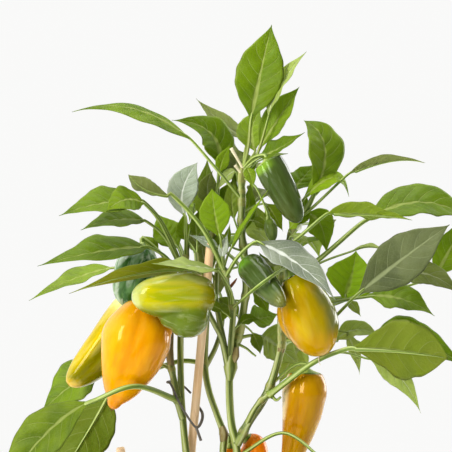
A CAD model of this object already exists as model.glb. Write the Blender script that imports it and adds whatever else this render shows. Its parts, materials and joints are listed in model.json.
"""Potted chilli pepper plant: fine surfaces, finishes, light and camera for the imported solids.

Sizes and places are in millimetres, in the part's own frame, and meshes are made in metres.
"""
import functools
import json
import math

import bmesh
import bpy
import numpy as np
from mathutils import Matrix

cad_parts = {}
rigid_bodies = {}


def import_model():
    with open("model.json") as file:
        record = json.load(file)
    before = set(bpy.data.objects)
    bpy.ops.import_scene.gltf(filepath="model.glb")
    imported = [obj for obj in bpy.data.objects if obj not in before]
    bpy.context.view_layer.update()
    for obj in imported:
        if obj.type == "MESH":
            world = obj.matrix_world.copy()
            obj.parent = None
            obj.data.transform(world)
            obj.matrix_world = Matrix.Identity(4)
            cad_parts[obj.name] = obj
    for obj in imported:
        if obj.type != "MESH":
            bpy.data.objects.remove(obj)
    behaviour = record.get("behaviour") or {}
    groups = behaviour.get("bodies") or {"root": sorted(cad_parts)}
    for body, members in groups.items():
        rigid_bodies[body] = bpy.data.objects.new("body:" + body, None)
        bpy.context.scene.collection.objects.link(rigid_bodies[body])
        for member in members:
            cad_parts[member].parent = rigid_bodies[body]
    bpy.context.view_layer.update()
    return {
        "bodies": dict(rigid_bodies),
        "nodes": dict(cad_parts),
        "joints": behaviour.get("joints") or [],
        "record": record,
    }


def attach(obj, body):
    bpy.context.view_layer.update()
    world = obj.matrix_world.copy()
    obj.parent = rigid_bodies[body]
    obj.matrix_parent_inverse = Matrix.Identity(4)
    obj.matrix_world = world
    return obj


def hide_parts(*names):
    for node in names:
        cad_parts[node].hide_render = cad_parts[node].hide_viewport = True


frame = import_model()

# ---------------------------------------------------------------- sizes

MM = 0.001

POT_HEIGHT = 130
POT_TOP_RADIUS = 85
POT_BASE_RADIUS = 58
POT_WALL = 2
POT_FLOOR = 3
RIM_HEIGHT = 14
RIM_STEP = 4
DRAIN_HOLES = 6
DRAIN_RADIUS = 4
DRAIN_CIRCLE = 36

SOIL_EDGE_HEIGHT = 113
SOIL_CROWN_HEIGHT = 119

CANE_RADIUS = 3
WIRE_RADIUS = 0.9
LEAF_STALK_RADIUS = (1.3, 0.9)
FRUIT_STALK_RADIUS = (1.0, 1.25)
CALYX_HEIGHT = 3.5
CALYX_SHARE = 0.85
STALK_HOOK = 6.5
STALK_ARCH = 0.06

# The camera stands this far in front of the pot's axis, at this height, and sees this width there.
EYE_DISTANCE = 1600
EYE_HEIGHT = 336
VIEW_WIDTH = 316.4
SENSOR_WIDTH = 36

# ---------------------------------------------------------------- the plants' layout
# Places are [x, depth behind the axis, z] on a front elevation; on_sight_line sets them back along the
# line of sight, so that they keep their place in the camera's view.

# [stem, node that it belongs to, places up the stem, radius at the root, radius at the top]
STEMS = [
    ["left", "left_stem", [[-21, -1, 84], [-21, -1, 102], [-21, -1, 120], [-24.5, -1, 150], [-28, -1, 178],
     [-31, 0, 214], [-31.8, 0, 250], [-31, 3, 286], [-29, 5, 306], [-27, 6, 324]], 3, 1.9],
    ["left_side", "left_stem", [[-30.4, -0.5, 201], [-33.4, -2.2, 212], [-36.4, -3, 227], [-39.6, -4, 246],
     [-38.6, -1.5, 262], [-40, 0, 275], [-43, 2, 288]], 2.6, 1.8],
    ["middle", "middle_stem", [[-3, 12, 84], [-3, 12, 102], [-3, 12, 120], [-2.6, 10, 150], [-2.1, 8, 178],
     [-1.6, 8, 190], [-6.3, 8, 204], [-12, 8, 221], [-14.6, 8, 238], [-14, 9, 258], [-13, 11, 278],
     [-12, 12, 302], [-10, 14, 326], [-8, 14, 346]], 3, 1.6],
    ["middle_arm", "middle_stem", [[-14.4, 8, 237], [-7.3, 10, 251], [-3, 15, 266], [-2, 20, 282]], 1.9,
     1.4],
    ["main", "centre_stem", [[9, 2, 84], [9, 2, 102], [9, 2, 120], [8.6, 1, 152], [7.4, 0, 180],
     [4, 0, 197], [2.6, 0, 215], [2.6, 0, 234], [5, 1, 246], [9.8, 4, 263], [14, 6, 290], [13.5, 6, 311],
     [11, 4, 333], [11.2, 2, 354], [11, 1, 366], [11.9, 0, 378]], 3.0, 2.4],
    ["hub", "centre_stem", [[2.6, 0, 232], [3.4, -3, 254], [4.8, -4, 278], [1, -5, 294], [-2, -5, 307]],
     2.4, 1.9],
    ["rear_left", "centre_stem", [[2.6, 0, 230], [-3, -6, 256], [-8, -8, 267], [-12, -9, 275],
     [-16, -9, 287], [-19.4, -7, 301], [-21, -3, 318]], 2.1, 1.6],
    ["near_left", "centre_stem", [[2.6, 0, 234], [-2, -3, 258], [-6, -2, 277], [-7, 3, 292], [-6, 5, 310]],
     2, 1.6],
    ["right", "right_stem", [[7.6, -0.5, 183], [16, -2, 199], [25.2, -3, 213], [31.9, -4, 227],
     [38.5, -4, 250], [38.9, -2, 262], [39.2, 2, 288], [39.6, 5, 304], [42, 6, 318], [46, 6, 332],
     [50, 4, 343]], 3.2, 1.8],
    ["right_low", "right_stem", [[14.5, -2, 197], [19, -7, 206], [24, -10, 213], [31.5, -12, 219]], 2.2,
     1.9],
]

# [stem, height of the root on it, bend of the stalk or [], blade base, blade middle, blade tip, width,
#  direction that the upper face looks, fold of the blade along its midrib in degrees, look, place of the
#  greatest width as a share of the length, thickness of the stalk as a share of the usual one]
# The last two columns may be left out: they are then USUAL_LEAF's.
USUAL_LEAF = [0.4, 1.0]
LEAVES = [
    # top shoot
    ["main", 377, [15.6, -1, 392], [17, -1, 408], [23.6, -2, 441], [32, 4, 476.8], 34, [-0.1, -1, 0.1], 14,
     "fresh", 0.5],
    ["main", 372, [21, -5, 384], [29.4, -4, 411], [37.5, -4, 434], [56.4, 0, 458], 19, [-0.75, -0.55, 0.35],
     20, "pale", 0.5],
    ["main", 373, [20.3, 2, 384], [22.5, 3, 388], [36, 2, 411], [51.4, -3, 433.4], 24, [-0.5, -0.7, 0.4],
     20, "fresh", 0.5],
    ["main", 371, [], [20.5, 9, 388], [18.2, 17, 404], [25, 26, 418.5], 22, [0, -0.8, 0.5], 16, "fresh"],
    ["main", 377, [13, 9, 387], [14.5, 18, 396], [-4, 30, 409.5], [-21, 36, 425.2], 14, [-0.3, -0.55, 0.8],
     20, "dull"],
    ["main", 373, [], [22, -8, 383], [37.5, -12, 391], [55.3, -16, 401.6], 23, [-0.3, -0.5, 0.85], 16,
     "fresh"],
    ["main", 371, [22, 2, 381], [29.4, 4, 383.4], [36, 7, 385.7], [43.4, 10, 386.6], 6, [0, -0.4, 1], 10,
     "fresh"],
    ["main", 355, [-9.8, -12, 379.6], [-24, -14, 396], [-65.8, -27, 417.5], [-107.8, -34, 415.7], 23,
     [0.05, -0.5, 0.85], -8, "fresh", 0.34],
    ["main", 368, [], [4, 22, 384], [-1, 28, 389], [-6, 33, 382], 12, [0, -0.7, 0.7], 12, "deep"],
    ["main", 352, [], [9.8, 12, 365.6], [7, 20, 380], [4.2, 28, 392], 28, [0, -0.95, 0.3], 12, "deep"],
    ["main", 322, [], [25.2, 16, 322.9], [23.5, 20, 337], [19.6, 22, 352], 22, [0, -1, 0.2], 10, "pale"],
    # centre
    ["hub", 306, [], [2.4, -11, 318], [14, -18, 338.5], [29.4, -27, 361.2], 10, [-0.65, -0.3, 0.6], 22,
     "vivid"],
    ["hub", 300, [8.4, -16, 314.5], [20.3, -24, 325], [50.2, -38, 309.6], [76.9, -62, 284], 31,
     [0.4, -0.7, 0.6], 12, "grey"],
    ["hub", 306, [-3, -10, 317], [-3.9, -16, 326.9], [-7.7, -20, 344], [-9.9, -23, 362.2], 22, [0, -1, 0.1],
     10, "vivid", 0.52],
    ["hub", 280, [3, -14, 291], [-4.9, -26, 304.7], [-25.2, -45, 308], [-52.3, -62, 309.7], 24,
     [0.05, -0.45, 0.9], 8, "pale"],
    ["hub", 305, [-17, -16, 335], [-37, -20, 357.2], [-54.6, -26, 361.5], [-68.4, -30, 371.9], 20,
     [0.1, 0.45, 0.85], 14, "dull", 0.6, 1.5],
    ["hub", 305, [], [-1.4, -8, 321.5], [1, -9, 329], [2.8, -10, 337.6], 6, [0.5, 0.8, 0.3], 6, "fresh"],
    ["rear_left", 302, [], [-23, -19, 305], [-60.2, -27, 303.5], [-109.8, -34, 288.6], 24, [0, 0.5, 0.8],
     12, "olive"],
    ["main", 264, [], [9, 8, 272], [0, 9, 281], [-9.8, 9, 284.4], 15, [0, -0.7, 0.7], 10, "deep"],
    ["main", 262, [], [15.4, 14, 271.8], [25.9, 17, 271.8], [37, 19, 274.6], 26, [0, -0.6, 0.8], 10,
     "fresh"],
    ["main", 258, [], [24.5, 13, 259], [36, 16, 252], [54, 19, 236], 30, [0.1, -0.8, 0.6], 10, "pale"],
    ["main", 174, [39.6, -26, 191.3], [66, -38, 174], [88, -50, 160], [108, -62, 138], 32, [0.3, -0.4, 0.9],
     12, "fresh"],
    # left
    ["left", 314, [], [-28, -9, 341], [-30.5, -9, 360], [-20, -5, 380.4], 22, [-0.2, -1, 0.15], 10,
     "silver", 0.55],
    ["left", 304, [-44, -18, 337], [-57.4, -28, 353], [-85.4, -40, 352.5], [-116.9, -50, 343], 33,
     [0, -0.55, 0.8], 12, "fresh"],
    ["left", 302, [-43, -12, 328], [-55.3, -20, 339], [-77.7, -27, 340.5], [-101.7, -33, 333], 26,
     [0, -0.5, 0.85], 12, "fresh"],
    ["left", 303, [-46, -22, 338], [-56.5, -36, 351], [-70, -46, 354.5], [-84, -52, 346], 24,
     [0, -0.75, 0.65], 8, "fresh", 0.45],
    ["left", 292, [-40, -10, 312], [-53.3, -16, 320.9], [-88.2, -32, 318.5], [-132, -44, 307.8], 36,
     [0, -0.48, 0.88], 12, "fresh"],
    ["left", 288, [-50, 34, 309], [-78.5, 34, 306.8], [-105.7, 30, 299.5], [-138, 22, 283.6], 24,
     [0, -0.42, 0.9], 12, "fresh"],
    ["left", 306, [], [-33, 14, 320], [-42, 19, 333], [-48, 24, 345], 22, [0, -0.9, 0.4], 12, "fresh"],
    ["left", 300, [], [-47, 16, 318], [-53, 18, 325], [-58, 20, 329], 8, [0, -0.8, 0.5], 8, "deep"],
    ["left_side", 214, [-63.4, -46, 224], [-92, -53, 214], [-124, -60, 193], [-158, -66, 150], 34,
     [0.25, -0.6, 0.8], 12, "deep", 0.55, 1.6],
    ["left_side", 236, [-64, 36, 247], [-88, 38, 238], [-108, 38, 225], [-130, 36, 205], 36, [0, -0.7, 0.7],
     10, "fresh"],
    ["middle", 240, [-37, 15, 240.5], [-80, 8, 222], [-96.6, 2, 192], [-123, -4, 151], 35, [0.35, 0.8, 0.5],
     10, "deep", 0.5, 1.3],
    ["middle", 336, [-6, 12, 358], [-5, 10, 376], [-10.5, 9, 401], [-38, 1, 410], 30, [0.35, -0.7, 0.5], 12,
     "fresh"],
    ["middle", 318, [], [-14, 20, 340], [-14, 24, 360], [-13, 27, 384], 20, [-0.1, -1, 0.2], 10, "deep"],
    ["middle", 322, [], [0, 22, 343], [2, 26, 356], [8, 30, 371], 20, [0, -0.9, 0.4], 10, "deep"],
    ["middle", 300, [], [-4, 20, 320], [-14, 23, 331], [-27, 26, 329], 20, [0, -0.6, 0.8], 10, "fresh"],
    ["middle", 296, [], [-14, 24, 322], [-10, 28, 338], [-6, 32, 352], 18, [0, -1, 0.2], 10, "deep"],
    # right
    ["right", 342, [53, 0, 345], [57, -3, 349], [69.5, -12, 388], [54.6, -4, 409.7], 31, [0.55, -0.8, 0.2],
     10, "fresh", 0.55, 1.5],
    ["right", 340, [60.8, -6, 349.1], [84, -14, 371], [113, -22, 382], [139.4, -28, 380], 20, [0, 0.2, 1],
     16, "dull"],
    ["right", 336, [], [53, -12, 353], [74.9, -10, 370], [86, -2, 356.5], 20, [0, -0.55, 0.8], 12, "vivid"],
    ["right", 338, [], [46, 10, 360], [55, 13, 371], [63, 15, 379.6], 22, [-0.2, -0.6, 0.8], 10, "fresh"],
    ["right", 322, [52, -14, 329], [69.8, -20, 344], [99.4, -32, 345], [130.3, -42, 340], 29,
     [0, 0.42, 0.88], 12, "fresh"],
    ["right", 292, [69.8, 8, 316.8], [92, 10, 336], [134, 14, 353], [170, 20, 340], 36, [0, -0.62, 0.75],
     12, "fresh", 0.52, 1.5],
    ["right", 262, [64, -1, 263], [90, -26, 286.5], [122, -38, 312], [156.6, -50, 337], 33,
     [0.35, -0.85, 0.42], 10, "dark", 0.5],
    ["right", 272, [78, 6, 282], [118, 6, 300], [142, 2, 302], [166, -2, 286], 24, [0, -0.7, 0.7], 10,
     "dull"],
    ["right", 284, [100, 24, 288], [146, 24, 300], [158, 24, 322], [170, 24, 345], 22, [0.2, -1, 0.2], 10,
     "fresh"],
    ["right", 270, [], [99, 0, 286.5], [123.2, -4, 285], [146, -10, 272.9], 32, [0.1, -0.6, 0.8], 12,
     "fresh"],
    ["right", 280, [], [82, 14, 284], [88.2, 16, 302], [91, 20, 319.4], 36, [0, -1, 0.1], 25, "vivid"],
    ["right", 292, [], [88.9, 28, 318.7], [100, 30, 322], [114, 32, 318], 16, [0, 0.15, 1], 10, "pale"],
    ["right", 343, [], [57, 12, 345], [66.5, 15, 336], [70.5, 18, 315.9], 21, [-0.2, -0.95, 0.3], 10,
     "fresh"],
    ["right", 252, [], [56, 27, 256], [46, 31, 243], [37, 34, 225], 25, [0, -0.9, 0.4], 10, "pale"],
    ["right", 262, [], [75.6, -4, 255], [91.7, -8, 263.5], [109, -12, 257], 20, [0, -0.6, 0.8], 12, "pale"],
    ["right", 330, [], [44, -2, 333], [49, -5, 340], [54, -7, 345], 11, [-0.2, -0.7, 0.7], 10, "vivid"],
    ["right", 268, [], [86, 2, 284], [90, 0, 279], [94.5, -2, 272.5], 8, [0.3, -0.9, 0.3], 8, "pale"],
    ["right", 258, [], [84, -10, 262], [90.5, -11, 248], [93.5, -12, 232], 9, [-0.4, -0.9, 0.1], 8, "pale"],
    ["right", 256, [80, 2, 258], [100, 2, 252], [130, -8, 256], [170, -12, 236], 36, [0, -0.75, 0.6], 12,
     "fresh"],
    ["right_low", 218, [61, -25, 240.5], [84, -33, 250], [119, -46, 249], [155.6, -52, 243.5], 46,
     [0, 0.9, 0.42], 8, "deep", 0.6, 1.6],
    ["right_low", 214, [70, -22, 246], [100, -24, 243], [121, -27, 231], [136.4, -30, 204.8], 17,
     [-0.5, -0.75, 0.3], 12, "pale"],
    # rear, towards the far side
    ["main", 340, [], [20, 30, 352], [30, 60, 361], [34, 95, 350], 28, [0.1, 0, 1], 12, "dull"],
    ["main", 300, [], [0, 36, 318], [-5, 64, 326], [-12, 98, 312], 28, [-0.1, 0.1, 1], 12, "fresh"],
    ["main", 286, [], [24, 34, 304], [30, 62, 310], [38, 94, 294], 28, [0.1, 0.1, 1], 12, "deep"],
    ["main", 360, [], [14, 26, 373], [20, 50, 380], [26, 76, 370], 22, [0.2, 0, 1], 12, "dull"],
    ["right", 300, [], [52, 34, 320], [58, 62, 328], [66, 92, 312], 26, [0.2, 0.1, 1], 12, "fresh"],
    ["right", 264, [], [50, 34, 274], [56, 60, 278], [62, 88, 262], 26, [0.2, 0.1, 1], 12, "deep"],
    ["right", 334, [], [60, 30, 338], [66, 54, 341], [70, 84, 328], 24, [0.3, 0, 1], 12, "dull"],
    ["middle", 330, [], [-14, 40, 345], [-20, 66, 352], [-26, 96, 338], 26, [-0.2, 0, 1], 12, "fresh"],
    ["middle_arm", 276, [], [-4, 40, 288], [-14, 68, 294], [-24, 98, 276], 26, [-0.1, 0.1, 1], 12, "deep"],
    ["left", 310, [], [-34, 34, 326], [-36, 58, 333], [-40, 86, 320], 24, [-0.2, 0.1, 1], 12, "dull"],
    ["left", 268, [], [-50, 44, 286], [-64, 68, 286], [-78, 98, 268], 26, [-0.3, 0.1, 1], 12, "fresh"],
    # low, spreading over the rim
    ["main", 152, [], [32, -32, 160], [56, -58, 162], [82, -88, 138], 32, [0.2, -0.3, 1], 12, "deep"],
    ["left", 156, [], [-44, -32, 162], [-64, -60, 162], [-84, -90, 140], 30, [-0.2, -0.3, 1], 12, "dull"],
    ["middle", 160, [], [-22, 46, 166], [-34, 78, 166], [-48, 110, 142], 30, [-0.1, 0.3, 1], 12, "fresh"],
    ["main", 134, [34, 20, 150], [48, 30, 168], [76, 48, 164], [104, 66, 142], 30, [0.3, 0.2, 1], 12,
     "deep"],
    ["main", 132, [22, 28, 146], [16, 50, 164], [22, 80, 164], [28, 114, 142], 28, [0.1, 0.3, 1], 12,
     "dull"],
    ["left", 164, [], [-56, 20, 166], [-84, 32, 162], [-114, 42, 140], 28, [-0.3, 0.1, 1], 12, "fresh"],
]

# Young leaves in the thick of the crown, in the same columns.
SMALL_LEAVES = [
    ["middle", 330, [], [-5, 6, 373], [-2, 6, 383], [3, 6, 393], 10, [0.3, -0.9, 0.3], 14, "vivid"],
    ["main", 366, [], [8, 10, 372], [7, 12, 382], [6, 14, 394], 15, [0, -1, 0.2], 10, "dull"],
    ["main", 352, [], [7, 6, 374], [1, 7, 371], [-7, 8, 360], 9, [0, -0.8, 0.6], 10, "pale"],
    ["middle", 326, [], [-10, 10, 350], [-13, 11, 363], [-9, 12, 375], 15, [0, -1, 0.3], 10, "dull"],
    ["main", 370, [], [14, -6, 377], [17, -7, 371], [19, -7, 361], 9, [0.2, -0.9, 0.3], 12, "vivid"],
    ["main", 322, [], [13, 9, 332], [16, 11, 350], [17, 12, 368], 11, [0, -1, 0.2], 10, "fresh"],
    ["main", 318, [], [6, 9, 340], [4, 10, 356], [6, 11, 372], 11, [0, -1, 0.2], 10, "deep"],
    ["hub", 303, [], [-3, -12, 313], [-1.5, -13, 322], [1.5, -14, 331], 7, [0, -1, 0.2], 8, "silver"],
    ["near_left", 306, [], [-5, -3, 321], [-14, -4, 325], [-26, -6, 330], 10, [0, -0.7, 0.7], 10, "silver"],
    ["rear_left", 312, [], [-20, 0, 328], [-21, 1, 338], [-18, 2, 348], 9, [0, -1, 0.2], 10, "deep"],
    ["rear_left", 316, [], [-27, 4, 326], [-30, 5, 334], [-29, 6, 346], 12, [0.3, -0.9, 0.2], 10, "fresh"],
    ["right", 334, [], [50, 3, 336], [54, 4, 347], [56, 5, 360], 12, [0, -1, 0.2], 10, "fresh"],
    ["right", 326, [], [46, -6, 329], [52, -8, 328], [60, -10, 322], 7, [0, -0.6, 0.8], 10, "pale"],
    ["near_left", 300, [], [-14, 5, 302], [-22, 6, 300], [-30, 7, 292], 11, [0, -0.7, 0.7], 10, "deep"],
    ["main", 300, [], [22, 3, 306], [30, 4, 310], [40, 5, 308], 12, [0, -0.6, 0.8], 10, "dull"],
    ["main", 268, [], [18, 6, 262], [22, 8, 254], [24, 9, 246], 9, [0, -0.9, 0.3], 10, "deep"],
    ["hub", 262, [], [10, -2, 267], [16, -1, 271], [24, 0, 270], 9, [0, -0.8, 0.5], 10, "fresh"],
    ["right", 318, [], [31, 6, 322], [25, 8, 329], [18, 9, 333], 9, [0, -0.8, 0.5], 10, "pale"],
    ["near_left", 296, [], [-12, 4, 306], [-16, 5, 316], [-17, 6, 327], 10, [0, -1, 0.2], 10, "dull"],
    ["middle", 290, [], [-20, 10, 298], [-26, 11, 304], [-34, 12, 308], 10, [0, -0.8, 0.5], 10, "deep"],
    ["hub", 270, [], [-2, -8, 276], [-9, -9, 280], [-17, -9, 281], 9, [0, -0.8, 0.6], 10, "deep"],
    ["main", 296, [], [18, 5, 290], [25, 7, 284], [30, 8, 274], 12, [0, -0.8, 0.5], 10, "fresh"],
    ["right", 300, [], [34, 8, 304], [28, 9, 310], [23, 9, 318], 8, [0, -0.9, 0.4], 10, "fresh"],
    ["main", 340, [], [18, 6, 340], [24, 8, 338], [31, 9, 332], 9, [0, -0.8, 0.5], 10, "deep"],
    ["middle", 312, [], [-16, 16, 318], [-22, 17, 326], [-30, 18, 338], 13, [0, -0.9, 0.4], 10, "dull"],
    ["main", 330, [], [2, 12, 330], [-5, 13, 322], [-9, 14, 311], 13, [0, -0.9, 0.4], 10, "deep"],
    ["main", 308, [], [4, 12, 306], [-4, 13, 298], [-6, 14, 286], 12, [0, -0.9, 0.4], 10, "dull"],
    ["right", 312, [], [44, 10, 316], [49, 12, 309], [52, 14, 298], 12, [0, -0.9, 0.4], 10, "dull"],
    ["main", 282, [], [6, 12, 284], [-2, 13, 276], [-6, 14, 264], 11, [0, -0.9, 0.4], 10, "fresh"],
    ["main", 345, [], [28, 8, 352], [34, 10, 343], [40, 11, 332], 12, [0, -1, 0.2], 10, "deep"],
]

# [fruit, stem, height of the stalk's root, bend of the stalk or [], crown, middle, tip, radius,
#  width of the crown, place of the belly, taper to the tip, bluntness of the tip, depth of the furrows]
FRUITS = [
    ["pepper_green_top", "main", 376, [19, -8, 384], [30, -14, 380], [40, -17, 361], [51.5, -18, 338.5],
     10.8, 0.94, 0.25, 0.22, 5, 0.05],
    ["pepper_green_bud", "main", 370, [21, -8, 363], [30, -8, 340.5], [31.6, -8, 333], [32.8, -8, 325], 4.5,
     0.6, 0.45, 0.2, 3, 0.03],
    ["pepper_green_mid", "main", 322, [], [15, -12, 310.5], [26, -28, 297.5], [40.5, -56, 280.5], 10.4,
     0.72, 0.22, 0.25, 4.5, 0.05],
    ["pepper_yellow", "hub", 279, [24, -48, 295], [45.5, -27, 300.5], [58, -28, 274], [65.5, -29, 244.5],
     18.3, 0.36, 0.55, 0.1, 2.6, 0.05],
    ["pepper_lime", "rear_left", 292, [], [-13.3, -32, 287], [-38, -43, 286.8], [-66.5, -46, 286.3], 16,
     0.7, 0.35, 0.18, 3.6, 0.05],
    ["pepper_dark_green", "left", 284, [-42, 8, 312], [-58.8, 8, 320.7], [-63.7, 7, 300.9],
     [-71.4, 5, 279.8], 15.3, 0.55, 0.4, 0.12, 3, 0.06],
    ["pepper_orange", "left_side", 276, [-46, -8, 285], [-57, -16, 281.5], [-66.5, -23, 243.8],
     [-79.1, -26, 211], 24, 0.45, 0.34, 0.32, 1.9, 0.05],
    ["pepper_gold", "left_side", 284, [-46, 24, 293], [-64, 30, 289], [-82.4, 20, 254], [-111, 10, 225],
     14.4, 0.5, 0.4, 0.12, 3.2, 0.05],
    ["pepper_amber", "right", 224, [47, -2, 238], [56, -2, 232.6], [51.5, -3, 196], [40, -4, 157], 15.4,
     0.74, 0.2, 0.5, 2.4, 0.06],
    ["pepper_orange_low", "right", 192, [], [15, 12, 187], [21.5, 12, 174], [24, 9, 148], 9.5, 0.5, 0.3,
     0.35, 2.4, 0.05],
    ["pepper_orange_rear", "middle", 190, [2, 17, 190], [2.5, 20, 181], [2, 22, 163], [1, 22, 145], 9, 0.5,
     0.3, 0.35, 2.4, 0.05],
]

# Side lobes that swell out of a fruit: {fruit: [(crown, middle, tip, radius)]}
SWELLINGS = {
    "pepper_lime": [([-21, -37, 290], [-26, -40, 274], [-28.5, -42, 257.5], 14.5),
                    ([-26, -40, 288], [-35, -42, 277], [-39, -43, 264], 11)],
    "pepper_yellow": [([43, -20, 286], [42.5, -21, 272], [51, -24, 254], 6.5)],
    "pepper_orange": [([-48, -20, 276], [-46, -24, 266], [-50, -26, 250], 9),
                      ([-74, -25, 226], [-77, -26, 216], [-79.8, -26, 207.5], 5.5)],
}

# Broken stalks, hooks, bare stalks, a petal, a scar and the styles of two fruits:
# [node that it belongs to, places, radii at the places, finish]
STUBS = [
    ["centre_stem", [[12, -1, 376], [8.5, -2, 382], [3.5, -3, 390.5]], [1.1, 0.9, 1.2], "husk"],
    ["centre_stem", [[11.5, -1, 372], [8.6, -2, 375.5], [6.4, -3, 378.5]], [1.2, 1, 1.1], "husk"],
    ["centre_stem", [[7, 2, 254], [14, -2, 250.5], [18, -3, 247.2], [21, -3, 244.8]], [1.1, 0.9, 0.8, 0.6],
     "stalk"],
    ["centre_stem", [[2, -7, 291], [4, -10, 294.5], [6, -11, 297], [7.6, -12, 299.4]], [0.4, 1.1, 0.9, 0.3],
     "withered"],
    ["centre_stem", [[13, 4, 318], [3, -6, 322], [-4, -9, 331]], [0.9, 0.7, 0.5], "stalk"],
    ["centre_stem", [[2.6, 0, 300], [-8, -8, 322], [-17, -9, 340]], [0.9, 0.8, 0.6], "stalk"],
    ["left_stem", [[-27, 5, 322], [-24, 2, 340], [-22, 0, 352]], [1, 0.8, 0.6], "stalk"],
    ["right_stem", [[31, -12, 218.5], [35, -12, 214.2], [38.5, -12, 216.4]], [1.3, 1.1, 0.8], "stalk"],
    ["right_stem", [[44, 4, 326], [48, -3, 331], [50.5, -5, 334]], [0.7, 0.6, 0.7], "stalk"],
    ["right_stem", [[50, -5, 333.4], [51.4, -5.4, 335], [52.8, -6, 337.4]], [0.8, 2.0, 0.5], "petal"],
    ["right_stem", [[64.8, -29, 246], [65, -29, 241.5], [66, -29.5, 238.6]], [0.35, 0.3, 0.25], "husk"],
    ["left_stem", [[-79.4, -26, 209.6], [-79.8, -26, 208], [-80, -26, 206.6]], [0.8, 0.7, 0.4], "withered"],
]

# Swellings at four forks and the purple-brown patch on the main one, in the same columns.
FORKS = [
    ["centre_stem", [[2.6, -0.6, 228], [3.2, -1.2, 237], [4.4, -1, 248]], [2.4, 5.0, 3.0], "stem"],
    ["centre_stem", [[5, -3, 240], [6.6, -3.2, 245], [7.4, -2.6, 251]], [1.6, 2.8, 1.8], "woody"],
    ["middle_stem", [[-2, 7.6, 185], [-1.6, 7.4, 190.5], [-3, 7.6, 196]], [2.3, 3.4, 2.2], "woody"],
    ["left_stem", [[-37.6, -3.6, 234], [-39.4, -4.1, 246.5], [-38.7, -1.9, 261]], [2.2, 2.8, 2.2], "woody"],
    ["right_stem", [[37.6, -4, 246], [38.5, -4.1, 250], [38.6, -3.4, 254]], [2.3, 3.1, 2.3], "woody"],
]

# Foot and top of each cane, and the route of the wire tie round stem and cane with its free tail.
LONG_CANE = [[-35.2, 14.4, 60], [-10.9, -3.4, 324]]
SHORT_CANE = [[-58, -6, 66], [-74, -10, 181]]
TIE_LOOP = [
    [-24.6, 6.4, 219], [-30, 7.5, 224], [-37.5, 4, 227], [-41, -3, 226.5], [-38.5, -8, 225], [-33, -8, 213],
    [-25.2, -6, 200], [-20.5, -4.5, 195], [-17.2, 0, 199], [-16.6, 5, 205], [-20.4, 8.6, 211],
]
TIE_TAIL = [[-21, -4.6, 195.4], [-19, -7, 190], [-17.5, -8, 185.7]]

# ---------------------------------------------------------------- curves

UPRIGHT_LIMIT = 1e-6


def unit(vectors):
    vectors = np.asarray(vectors, float)
    return vectors / np.linalg.norm(vectors, axis=-1, keepdims=True)


def on_sight_line(place):
    """A place of the front elevation, set back by its depth without moving in the camera's view."""
    x, y, z = place
    reach = 1 + y / EYE_DISTANCE
    return np.array([x * reach, y, EYE_HEIGHT + (z - EYE_HEIGHT) * reach])


def set_back(places):
    return np.array([on_sight_line(place) for place in places])


def smooth_path(places, per_span=24):
    """Dense points of the Catmull-Rom curve through the places."""
    places = np.asarray(places, float)
    knots = np.vstack([2 * places[0] - places[1], places, 2 * places[-1] - places[-2]])
    t = np.linspace(0, 1, per_span, endpoint=False)[:, None]
    spans = []
    for before, start, end, after in zip(knots, knots[1:], knots[2:], knots[3:]):
        leave = (end - before) / 2
        arrive = (after - start) / 2
        spans.append(start + leave * t + (3 * (end - start) - 2 * leave - arrive) * t**2
                     + (2 * (start - end) + leave + arrive) * t**3)
    return np.vstack(spans + [places[-1:]])


def path_length(points):
    return float(np.linalg.norm(np.diff(points, axis=0), axis=1).sum())


def run_along(points):
    """The way along a path from its start to each of its points."""
    return np.concatenate([[0], np.cumsum(np.linalg.norm(np.diff(points, axis=0), axis=1))])


def even_steps(points, count):
    """The same path in points at equal steps of its length."""
    run = run_along(points)
    at = np.linspace(0, run[-1], count)
    return np.column_stack([np.interp(at, run, points[:, axis]) for axis in range(3)])


def arch_points(start, middle, end, shares):
    """Points of the parabola that passes through three places, half way along at the middle one."""
    control = 2 * middle - (start + end) / 2
    t = np.asarray(shares, float)[:, None]
    return (1 - t) ** 2 * start + 2 * t * (1 - t) * control + t**2 * end


def arch_slopes(start, middle, end, shares):
    """Unit directions along the same parabola."""
    control = 2 * middle - (start + end) / 2
    t = np.asarray(shares, float)[:, None]
    return unit(2 * (1 - t) * (control - start) + 2 * t * (end - control))


def side_of(points):
    """A level direction square to the start of a path."""
    start = points[min(2, len(points) - 1)] - points[0]
    level = np.cross([0, 0, 1], start)
    return level if np.linalg.norm(level) > UPRIGHT_LIMIT else np.array([1.0, 0, 0])


def sides_along(points):
    """Two directions square to a path, and to each other, that don't twist along it."""
    tangents = unit(np.gradient(points, axis=0))
    side = side_of(points)
    sides = []
    for tangent in tangents:
        side = unit(side - tangent * side.dot(tangent))
        sides.append(side)
    sides = np.array(sides)
    return sides, np.cross(tangents, sides)


# ---------------------------------------------------------------- bodies

# Each point has a paint vector, which the finishes read. Along a path, a unit of it is PAINT_UNIT mm.
PAINT_UNIT = 100
MARK_SHARE = 0.5
# Ripples: the spread of their lengths round the one asked for, and what scales their sum to about 1.
RIPPLE_SPREAD = (0.7, 1.5)
RIPPLE_PEAK = 1.4


class Body:
    """Points, paint values, faces and their finishes, gathered for one piece."""

    def __init__(self):
        self.points = []
        self.paint = []
        self.faces = []
        self.finishes = []
        self.names = []
        self.count = 0

    def add(self, points, paint, faces, finish):
        first = self.count
        self.points.append(np.asarray(points, float))
        self.paint.append(np.asarray(paint, float))
        self.count += len(points)
        self.add_faces(first, faces, finish)

    def add_faces(self, first, faces, finish):
        """Faces on points that are already in the body, counted from its point number first."""
        if finish not in self.names:
            self.names.append(finish)
        self.faces.extend([tuple(corner + first for corner in face) for face in faces])
        self.finishes.extend([self.names.index(finish)] * len(faces))

    def mesh(self, name):
        made = bpy.data.meshes.new(name)
        made.from_pydata((np.vstack(self.points) * MM).tolist(), [], self.faces)
        return made


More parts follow.
